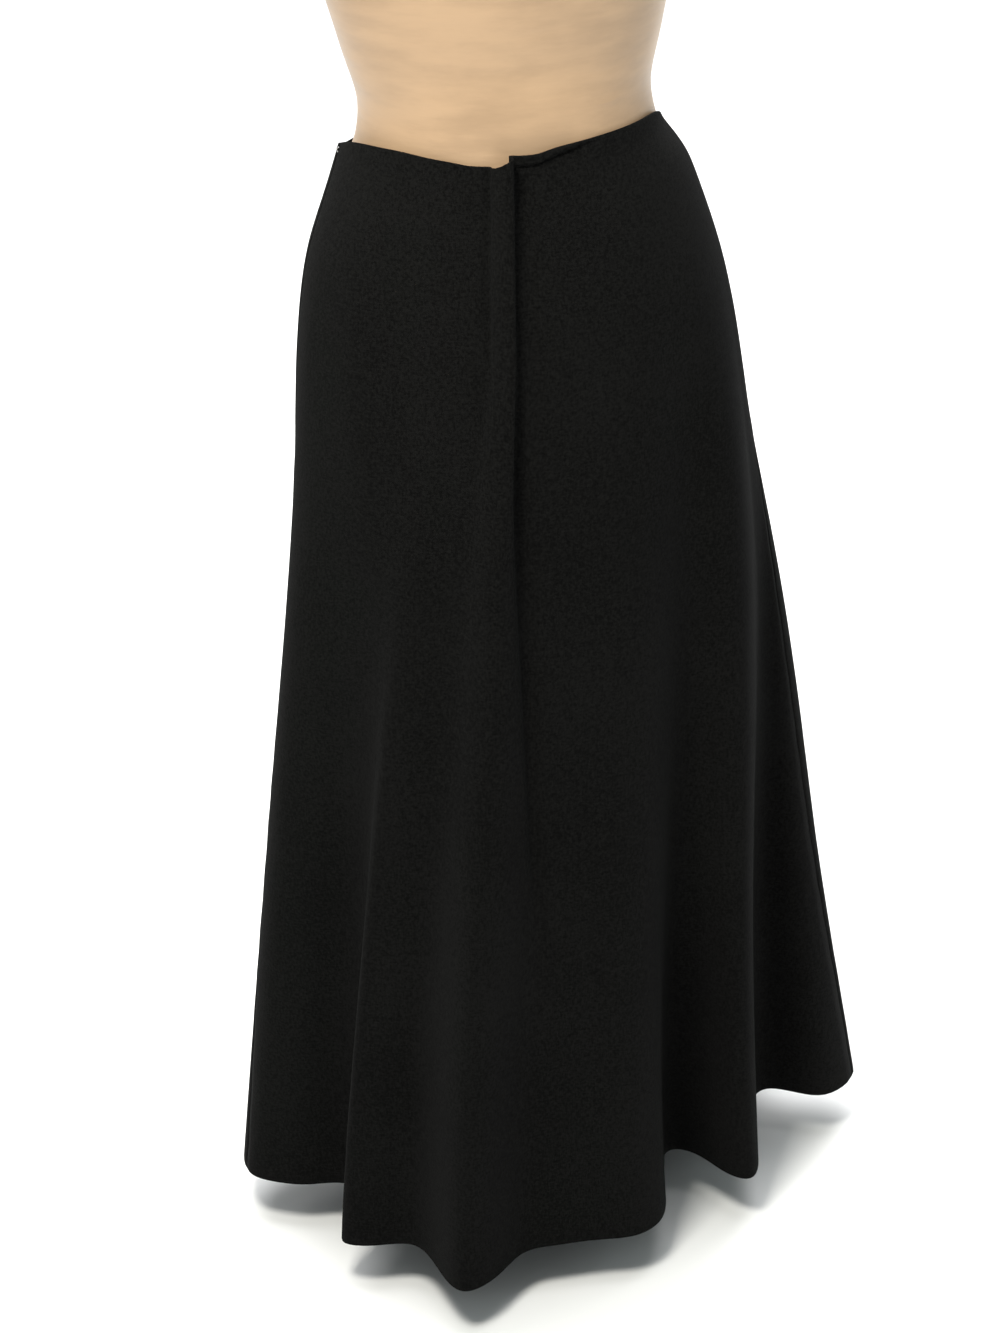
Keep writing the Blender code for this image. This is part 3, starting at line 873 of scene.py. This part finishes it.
def tape_finish(colour):
    """Black woven zip tape with a narrow rib down its length."""
    finish = Finish("black zip tape", Roughness=0.75)
    rib = finish.threads(finish.place(scale=(1200, 1200, 1), uv=True), "DIAGONAL", 0.4)
    tone = finish.noise(60.0)
    finish.tint(tone, colour, 0.8, 1.3)
    finish.bump(rib, 0.0002, 0.6)
    return finish.material


def coil_finish(colour):
    """Black nylon: the zip's coil."""
    finish = Finish("black nylon coil")
    wear = finish.noise(300.0)
    finish.tint(wear, colour, 1, 1.6)
    finish.feed("Roughness", 0.32 + wear * 0.2)
    return finish.material


def metal_finish(name, colour, rough):
    """Bare or plated metal with fine scratches."""
    finish = Finish(name, Metallic=1.0)
    scratch = finish.noise(900.0, 4.0, 0.6, scale=(1, 1, 6))
    cloud = finish.noise(90.0)
    finish.tint(cloud, colour, 0.75, 1)
    finish.feed("Roughness", rough - 0.08 + scratch * 0.2)
    finish.bump(scratch, 0.00005, 0.3)
    return finish.material


def paint_finish(colour):
    """The stand's dark paint, slightly pebbled, with scuffs that show paler."""
    finish = Finish("dark stand paint", IOR=1.5)
    pebble = finish.noise(500.0, 3.0, 0.6)
    cloud = finish.noise(14.0, 4.0)
    scuff = ramped(finish, finish.noise(45.0, 5.0, 0.7, scale=(1, 1, 3)), 0.66, 0.76)
    finish.tint(scuff * 0.5 + cloud * 0.3, colour, 1, 3.0)
    finish.feed("Roughness", 0.38 + pebble * 0.14 + scuff * 0.15)
    finish.bump(pebble, 0.0003, 0.25)
    return finish.material


def form_point(angle, height):
    """The form's skin: x = side * sin(angle), y = -back * cos(angle), with a bell-shaped bust."""
    reach = row_at(BODY_SECTIONS, height)
    across, along = np.sin(angle), -np.cos(angle)
    x = across * reach.side
    y = along * np.where(along < 0, reach.back, reach.front)
    level = np.exp(-(((height - BUST_HEIGHT) / BUST_TALL) ** 2))
    bust = sum(np.exp(-(((x - side * BUST_SPACING) / BUST_WIDTH) ** 2)) for side in (-1, 1))
    y = y + BUST_RISE * level * bust * np.clip(along, 0, 1)
    return np.stack([x, y, height + 0 * x], axis=-1)


def form_marks(angle, height):
    """Small wrinkles in the skin: short level ridges, each a bell across and along its line."""
    chance = np.random.default_rng(MARK_SEED)
    relief = np.zeros(np.broadcast(angle, height).shape)
    for _ in range(MARK_COUNT):
        at, up = chance.uniform(0, 2 * np.pi), chance.uniform(*MARK_HEIGHTS)
        long, wide = chance.uniform(*MARK_LONG), chance.uniform(*MARK_WIDE)
        tilt, rise = chance.normal(0, MARK_TILT), chance.uniform(*MARK_RISE)
        across = np.mod(angle - at + np.pi, 2 * np.pi) - np.pi
        x, y = across * MARK_RADIUS, height - up
        y = y - tilt * x - MARK_BEND * x * x
        relief = relief + rise * np.exp(-((x / long) ** 2) - ((y / wide) ** 2))
    return relief


def tube(path, radius, sides=8, reference=(0, 0, 1)):
    """A round wire along a path of points: circles square to the path, closed at both ends."""
    path = np.asarray(path, float)
    along = unit(np.gradient(path, axis=0))
    beside = unit(np.cross(along, reference))
    over = np.cross(beside, along)
    angle = circle_steps(sides)
    circle = beside[:, None] * np.cos(angle)[:, None] + over[:, None] * np.sin(angle)[:, None]
    points = (path[:, None] + radius * circle).reshape(-1, 3)
    count = len(path)
    faces = grid_faces(count, sides, columns_closed=True).tolist()
    faces.append(list(range(sides)))
    faces.append([(count - 1) * sides + k for k in range(sides)][::-1])
    return points, faces


def join_shapes(shapes):
    """Several (points, faces) as one."""
    points, faces, start = [], [], 0
    for shape_points, shape_faces in shapes:
        points.append(shape_points)
        faces.extend([[i + start for i in face] for face in shape_faces])
        start += len(shape_points)
    return np.concatenate(points), faces


def rounded_outline(corners, steps=5):
    """The corner table as a line, each corner replaced by a curve of two parabola arms."""
    points = np.array([(c.radius, c.height) for c in corners], float)
    line = [points[0]]
    for before, here, after, corner in zip(points, points[1:], points[2:], corners[1:]):
        back, on = before - here, after - here
        reach = min(corner.round, np.linalg.norm(back) / 2, np.linalg.norm(on) / 2)
        start = here + back / np.linalg.norm(back) * reach
        end = here + on / np.linalg.norm(on) * reach
        t = np.linspace(0, 1, steps)[:, None]
        line.extend((1 - t) ** 2 * start + 2 * t * (1 - t) * here + t * t * end)
    line.append(points[-1])
    return np.array(line)


def turned_object(name, corners, finish, steps=96):
    """A turned piece: (r, z) of the rounded outline goes to (r cos a, r sin a, z)."""
    line = rounded_outline(corners)
    angle = circle_steps(steps)
    ring = line[1:-1]
    points = np.stack([
        ring[:, :1] * np.cos(angle), ring[:, :1] * np.sin(angle), ring[:, 1:] + 0 * angle,
    ], axis=-1).reshape(-1, 3)
    low, high = len(points), len(points) + 1
    points = np.concatenate([points, [(0, 0, line[0, 1]), (0, 0, line[-1, 1])]])
    faces = grid_faces(len(ring), steps, columns_closed=True)[:, ::-1].tolist()
    top = (len(ring) - 1) * steps
    for k in range(steps):
        after = (k + 1) % steps
        faces.append([after, k, low])
        faces.append([top + k, top + after, high])
    return mesh_object(name, points, faces, finish)


def length_property(name, description, default, low, high):
    """A length in metres that the sidebar shows."""
    return FloatProperty(
        name=name, description=description, default=default, min=low, max=high,
        subtype="DISTANCE", unit="LENGTH",
    )


def colour_property(name, description, default):
    """A colour that the sidebar shows."""
    return FloatVectorProperty(
        name=name, description=description, default=default, size=3, subtype="COLOR", min=0, max=1,
    )


class SkirtSizes(bpy.types.PropertyGroup):
    weave_pitch: length_property("Weave pitch", "Distance from thread to thread", 0.0009, 0.0004, 0.004)
    zip_wire: length_property(
        "Zip coil wire", "Thickness of the zip's nylon coil", COIL_WIRE * 2 * MM, 0.0003, 0.001
    )
    floor_radius: length_property("Floor radius", "How far the plain floor reaches", 40.0, 2.0, 100.0)


class SkirtColours(bpy.types.PropertyGroup):
    cloth: colour_property("Cloth", "Colour of the skirt's cloth", (0.0043, 0.0043, 0.0041))
    tape: colour_property("Zip", "Colour of the zip's tape and coil", (0.012, 0.012, 0.012))
    wire: colour_property("Hook", "Colour of the hook and eye", (0.62, 0.61, 0.6))
    form: colour_property("Form", "Colour of the dress form", (0.435, 0.29, 0.174))
    stand: colour_property("Stand", "Colour of the stand's paint", (0.02, 0.02, 0.021))


class SKIRT_OT_panels(bpy.types.Operator):
    """Builds the skirt's back and front panels"""

    bl_idname = "skirt.panels"
    bl_label = "Skirt Panels"

    def execute(self, context):
        colour = context.scene.skirt_colours.cloth
        wool = wool_finish(colour, context.scene.skirt_sizes.weave_pitch)
        back_turns = np.concatenate([*(np.arange(*row) for row in BACK_COLUMNS), [90]])
        back = cloth_panel("skirt_back_cloth", back_turns, "first", wool)
        front = cloth_panel("skirt_front_cloth", np.linspace(90, 270, FRONT_COLUMNS), "last", wool)
        for panel, node, flat, area in (
            (back, "skirt_back", (1.01, 1.01), 0.68),
            (front, "skirt_front", (0.95, 1.00), 0.65),
        ):
            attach(panel, "root")
            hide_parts(node)
        return {"FINISHED"}


class SKIRT_OT_closing(bpy.types.Operator):
    """Builds the side zip, its slider, and the hook and eye above it"""

    bl_idname = "skirt.closing"
    bl_label = "Side Closing"

    def execute(self, context):
        colours = context.scene.skirt_colours
        half_wire = context.scene.skirt_sizes.zip_wire / MM / 2
        tape = tape_finish(colours.tape)
        nylon = coil_finish(colours.tape)
        wire = metal_finish("hook wire", colours.wire, 0.3)
        pieces = [
            self.tapes(tape),
            self.coils(nylon, half_wire),
            self.slider(metal_finish("slider enamel", (0.03, 0.03, 0.03), 0.35)),
        ]
        for piece in pieces:
            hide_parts("side_zip")
        hook = self.hook(wire)
        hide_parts("hook_and_eye")
        for piece in (*pieces, hook):
            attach(piece, "root")
        return {"FINISHED"}

    @staticmethod
    def seam_frame(level):
        """On the closing's seam at these levels: the point, and the directions out and along."""
        turn = np.full_like(level, -90.0)
        point = drape_point(turn, level)
        out = drape_normal(turn, level)
        along = drape_point(turn + 0.2, level) - drape_point(turn - 0.2, level)
        return point, out, unit(along)

    def tapes(self, finish):
        """The two tapes behind the slit: a flat wall, level down the seam and across it."""
        level = np.linspace(3, ZIP_LENGTH, 60)[:, None]
        across = np.array([-1.0, -0.94, -0.5, -0.08, -0.03, 0.03, 0.08, 0.5, 0.94, 1.0])[None, :]
        turn = -90 + across * ZIP_TAPE_WIDTH / 2 / turn_width(level)
        level = level + 0 * turn
        face, normal = drape_point(turn, level), drape_normal(turn, level)
        dip = TAPE_DIP * np.exp(-((across / 0.05) ** 2)) + 0 * turn
        outer = face - normal * (TAPE_DEPTH - TAPE_BACK + dip)[..., None]
        inner = face - normal * (TAPE_DEPTH - TAPE_BACK + TAPE_THICKNESS)
        rows, columns = turn.shape
        points = np.concatenate([outer.reshape(-1, 3), inner.reshape(-1, 3)])
        shift = rows * columns
        front = grid_faces(rows, columns)
        faces = [front, front[:, ::-1] + shift]
        rim = np.concatenate([
            np.arange(columns), np.arange(1, rows) * columns + columns - 1,
            np.arange(columns - 2, -1, -1) + (rows - 1) * columns,
            np.arange(rows - 2, 0, -1) * columns,
        ])
        after = np.roll(rim, -1)
        faces.append(np.stack([rim, after, after + shift, rim + shift], axis=-1))
        uv = np.stack([across * ZIP_TAPE_WIDTH / 2 + 0 * level, level], axis=-1) * MM
        uv = np.concatenate([uv.reshape(-1, 2), uv.reshape(-1, 2)])
        return mesh_object("zip_tape", points, np.concatenate(faces).tolist(), finish, uv)

    def coils(self, finish, wire):
        """Two coils side by side: circles round the seam line that step down it, a pitch a turn."""
        shapes = []
        for side in (-1, 1):
            turns = (ZIP_LENGTH - COIL_TOP - 2) / COIL_PITCH
            angle = np.linspace(0, 2 * np.pi * turns, int(turns * 12))
            level = COIL_TOP + angle / (2 * np.pi) * COIL_PITCH + (0.5 if side > 0 else 0) * COIL_PITCH
            point, out, along = self.seam_frame(level)
            aside = side * COIL_ASIDE + COIL_REACH * np.cos(angle)
            depth = TAPE_DEPTH - SLIDER_TALL + COIL_RISE * np.sin(angle)
            path = point + along * aside[:, None] - out * depth[:, None]
            shapes.append(tube(path, wire, 6, reference=(-1, 0, 0.1)))
        points, faces = join_shapes(shapes)
        return mesh_object("zip_coil", points, faces, finish)

    def slider(self, finish):
        """The slider at the top of the zip: a rounded wedge, a superellipsoid squeezed at its foot."""
        u = np.linspace(-np.pi / 2, np.pi / 2, 17)[1:-1, None]
        v = circle_steps(28)[None, :]

        def power(value, p):
            return np.sign(value) * np.abs(value) ** p

        long = power(np.sin(u), SLIDER_ENDS) + 0 * v
        wide = power(np.cos(u), SLIDER_ENDS) * power(np.cos(v), SLIDER_SIDES) * (1 - SLIDER_TAPER * long)
        tall = power(np.cos(u), SLIDER_ENDS) * power(np.sin(v), SLIDER_SIDES)
        point, out, along = self.seam_frame(np.array([SLIDER_LEVEL]))
        down = np.cross(along, out)
        points = (
            point
            + down * SLIDER_LONG * long[..., None]
            + along * SLIDER_WIDE * wide[..., None]
            + out * (SLIDER_TALL * tall[..., None] - TAPE_DEPTH + SLIDER_TALL)
        )
        ends = np.stack([
            point[0] + down[0] * side * SLIDER_LONG + out[0] * (SLIDER_TALL - TAPE_DEPTH)
            for side in (-1, 1)
        ])
        rows, columns = long.shape
        count = rows * columns
        faces = grid_faces(rows, columns, columns_closed=True).tolist()
        for k in range(columns):
            after = (k + 1) % columns
            faces.append([k, after, count])
            faces.append([count - columns + after, count - columns + k, count + 1])
        points = np.concatenate([points.reshape(-1, 3), ends])
        return outward(mesh_object("zip_slider", points, faces, finish))

    def hook(self, finish):
        """The hook and its eye: bent wires laid over the slit, each a smooth line through its bends."""
        point, out, along = self.seam_frame(np.array([HOOK_LEVEL]))
        down = np.cross(along[0], out[0])
        shapes = []
        for half in (HOOK_BENDS, EYE_BENDS):
            bends = np.concatenate([half, (np.array(half) * (1, -1, 1))[::-1]])
            at = np.arange(len(bends))
            fine = np.linspace(0, len(bends) - 1, 12 * len(bends))
            a, d, o = (smooth_curve(at, bends[:, k], fine)[:, None] for k in range(3))
            over = out[0] * (o * HOOK_RISE + HOOK_WIRE + HOOK_LIFT)
            path = point[0] + along[0] * a * HOOK_REACH + down * d + over
            shapes.append(tube(path, HOOK_WIRE * HOOK_THIN, 10, reference=out[0]))
        points, faces = join_shapes(shapes)
        return outward(mesh_object("hook_and_eye_wire", points, faces, finish))


def outward(obj):
    """The same piece with its faces turned to face out."""
    bm = bmesh.new()
    bm.from_mesh(obj.data)
    bmesh.ops.recalc_face_normals(bm, faces=bm.faces)
    bm.to_mesh(obj.data)
    bm.free()
    return obj


class SKIRT_OT_form(bpy.types.Operator):
    """Builds the dress form's torso and its neck cap"""

    bl_idname = "skirt.form"
    bl_label = "Dress Form"

    def execute(self, context):
        skin = form_finish(context.scene.skirt_colours.form)
        torso = self.torso(skin)
        cap = turned_object("form_neck_cap", NECK_CAP, skin)
        for piece, node in ((torso, "form_torso"), (cap, "neck_cap")):
            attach(piece, "root")
            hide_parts(node)
        return {"FINISHED"}

    @staticmethod
    def torso(finish):
        """The skin on a grid of angle and height, its foot and neck closed by shrinking rings."""
        columns = FORM_COLUMNS
        angle = circle_steps(columns)[None, :]
        low, high = BODY_SECTIONS[0].height, BODY_SECTIONS[-1].height
        foot = np.linspace(0.2, 1, 6)[:-1]
        rings = np.concatenate([np.linspace(*row) for row in FORM_ROWS])
        height = np.concatenate([low + 0 * foot, rings, high + 0 * foot])
        shrink = np.concatenate([foot, np.ones(len(rings)), foot[::-1]])
        points = form_point(angle, height[:, None] + 0 * angle)
        skin = np.stack([np.sin(angle), -np.cos(angle), 0 * angle], axis=-1)
        edge = np.clip((height - low) / 4, 0, 1) * np.clip((high - height) / 4, 0, 1)
        points = points + skin * (form_marks(angle, height[:, None]) * edge[:, None])[..., None]
        points[..., :2] *= shrink[:, None, None]
        rows = len(height)
        faces = grid_faces(rows, columns, columns_closed=True)[:, ::-1].tolist()
        faces.append(list(range(columns))[::-1])
        faces.append([(rows - 1) * columns + k for k in range(columns)])
        return outward(mesh_object("form_torso_skin", points, faces, finish))


class SKIRT_OT_stand(bpy.types.Operator):
    """Builds the socket under the form, the pole and the round base"""

    bl_idname = "skirt.stand"
    bl_label = "Stand"

    def execute(self, context):
        paint = paint_finish(context.scene.skirt_colours.stand)
        for name, corners, node in (
            ("stand_socket_turned", SOCKET, "form_socket"),
            ("stand_pole_turned", POLE, "stand_pole"),
            ("stand_base_turned", BASE, "stand_base"),
        ):
            piece = outward(turned_object(name, corners, paint))
            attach(piece, "root")
            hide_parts(node)
        return {"FINISHED"}


class SKIRT_OT_stage(bpy.types.Operator):
    """Sets the floor, the studio light and the camera"""

    bl_idname = "skirt.stage"
    bl_label = "Stage"

    def execute(self, context):
        self.floor(context.scene.skirt_sizes.floor_radius)
        self.lights(context.scene)
        self.camera(context.scene)
        context.scene.view_settings.view_transform = "Standard"
        return {"FINISHED"}

    @staticmethod
    def floor(radius):
        finish = Finish("pale floor", Roughness=0.9, Specular_IOR_Level=0.1)
        tone = finish.noise(0.7)
        finish.feed("Base Color", finish.blend(tone, (0.84, 0.84, 0.84), (0.87, 0.87, 0.87)))
        angle = circle_steps(64)
        ring = np.stack([np.cos(angle), np.sin(angle), 0 * angle - 1e-7], axis=-1)
        floor = mesh_object("studio_floor", ring * radius / MM, [list(range(64))], finish.material)

    @staticmethod
    def lights(scene):
        world = bpy.data.worlds.new("studio air")
        world.use_nodes = True
        backdrop = world.node_tree.nodes["Background"]
        backdrop.inputs["Color"].default_value = AIR_COLOUR
        backdrop.inputs["Strength"].default_value = AIR_STRENGTH
        scene.world = world
        for row in LAMPS:
            light = bpy.data.lights.new(row.name, "AREA")
            light.size = row.size
            light.energy = row.power
            light.color = row.colour
            lamp = bpy.data.objects.new(row.name, light)
            lamp.location = row.place
            aim = Vector(row.aimed) - Vector(row.place)
            lamp.rotation_euler = aim.to_track_quat("-Z", "Y").to_euler()
            scene.collection.objects.link(lamp)

    @staticmethod
    def camera(scene):
        """The camera stands round the object by CAMERA_ROUND, looks down by its pitch, and rolls."""
        pitch, roll, pan = (math.radians(v) for v in (CAMERA_PITCH, CAMERA_ROLL, CAMERA_PAN))
        ahead = Vector((math.sin(pan) * math.cos(pitch), math.cos(pan) * math.cos(pitch), -math.sin(pitch)))
        level = Vector((math.cos(pan), -math.sin(pan), 0))
        over = level.cross(ahead)
        right = level * math.cos(roll) + over * math.sin(roll)
        up = over * math.cos(roll) - level * math.sin(roll)
        turn = Matrix.Rotation(math.radians(-CAMERA_ROUND), 3, "Z")
        place = turn @ Vector((0, -CAMERA_DISTANCE, 0)) + Vector((CAMERA_ASIDE, 0, CAMERA_HEIGHT))
        axes = Matrix((turn @ right, turn @ up, turn @ -ahead)).transposed()
        data = bpy.data.cameras.new("studio camera")
        data.sensor_width = 36
        data.lens = CAMERA_LENS
        data.clip_start, data.clip_end = 0.05, 200
        camera = bpy.data.objects.new("studio camera", data)
        camera.matrix_world = Matrix.Translation(place) @ axes.to_4x4()
        scene.collection.objects.link(camera)
        scene.camera = camera


class SKIRT_PT_sidebar(bpy.types.Panel):
    """The skirt's sizes, colours and pieces"""

    bl_label = "Maxi Skirt"
    bl_idname = "SKIRT_PT_sidebar"
    bl_space_type = "VIEW_3D"
    bl_region_type = "UI"
    bl_category = "Skirt"

    def draw(self, context):
        for group in (context.scene.skirt_sizes, context.scene.skirt_colours):
            for name in group.bl_rna.properties.keys():
                if name not in {"rna_type", "name"}:
                    self.layout.prop(group, name)
        for operator in OPERATORS:
            self.layout.operator(operator.bl_idname)


OPERATORS = (SKIRT_OT_stage, SKIRT_OT_panels, SKIRT_OT_closing, SKIRT_OT_form, SKIRT_OT_stand)
CLASSES = (SkirtSizes, SkirtColours, *OPERATORS, SKIRT_PT_sidebar)


def register():
    for cls in CLASSES:
        bpy.utils.register_class(cls)
    bpy.types.Scene.skirt_sizes = PointerProperty(type=SkirtSizes)
    bpy.types.Scene.skirt_colours = PointerProperty(type=SkirtColours)


def unregister():
    del bpy.types.Scene.skirt_colours
    del bpy.types.Scene.skirt_sizes
    for cls in reversed(CLASSES):
        bpy.utils.unregister_class(cls)


def main():
    register()
    bpy.ops.skirt.stage()
    bpy.ops.skirt.panels()
    bpy.ops.skirt.closing()
    bpy.ops.skirt.form()
    bpy.ops.skirt.stand()


if __name__ == "__main__":
    main()
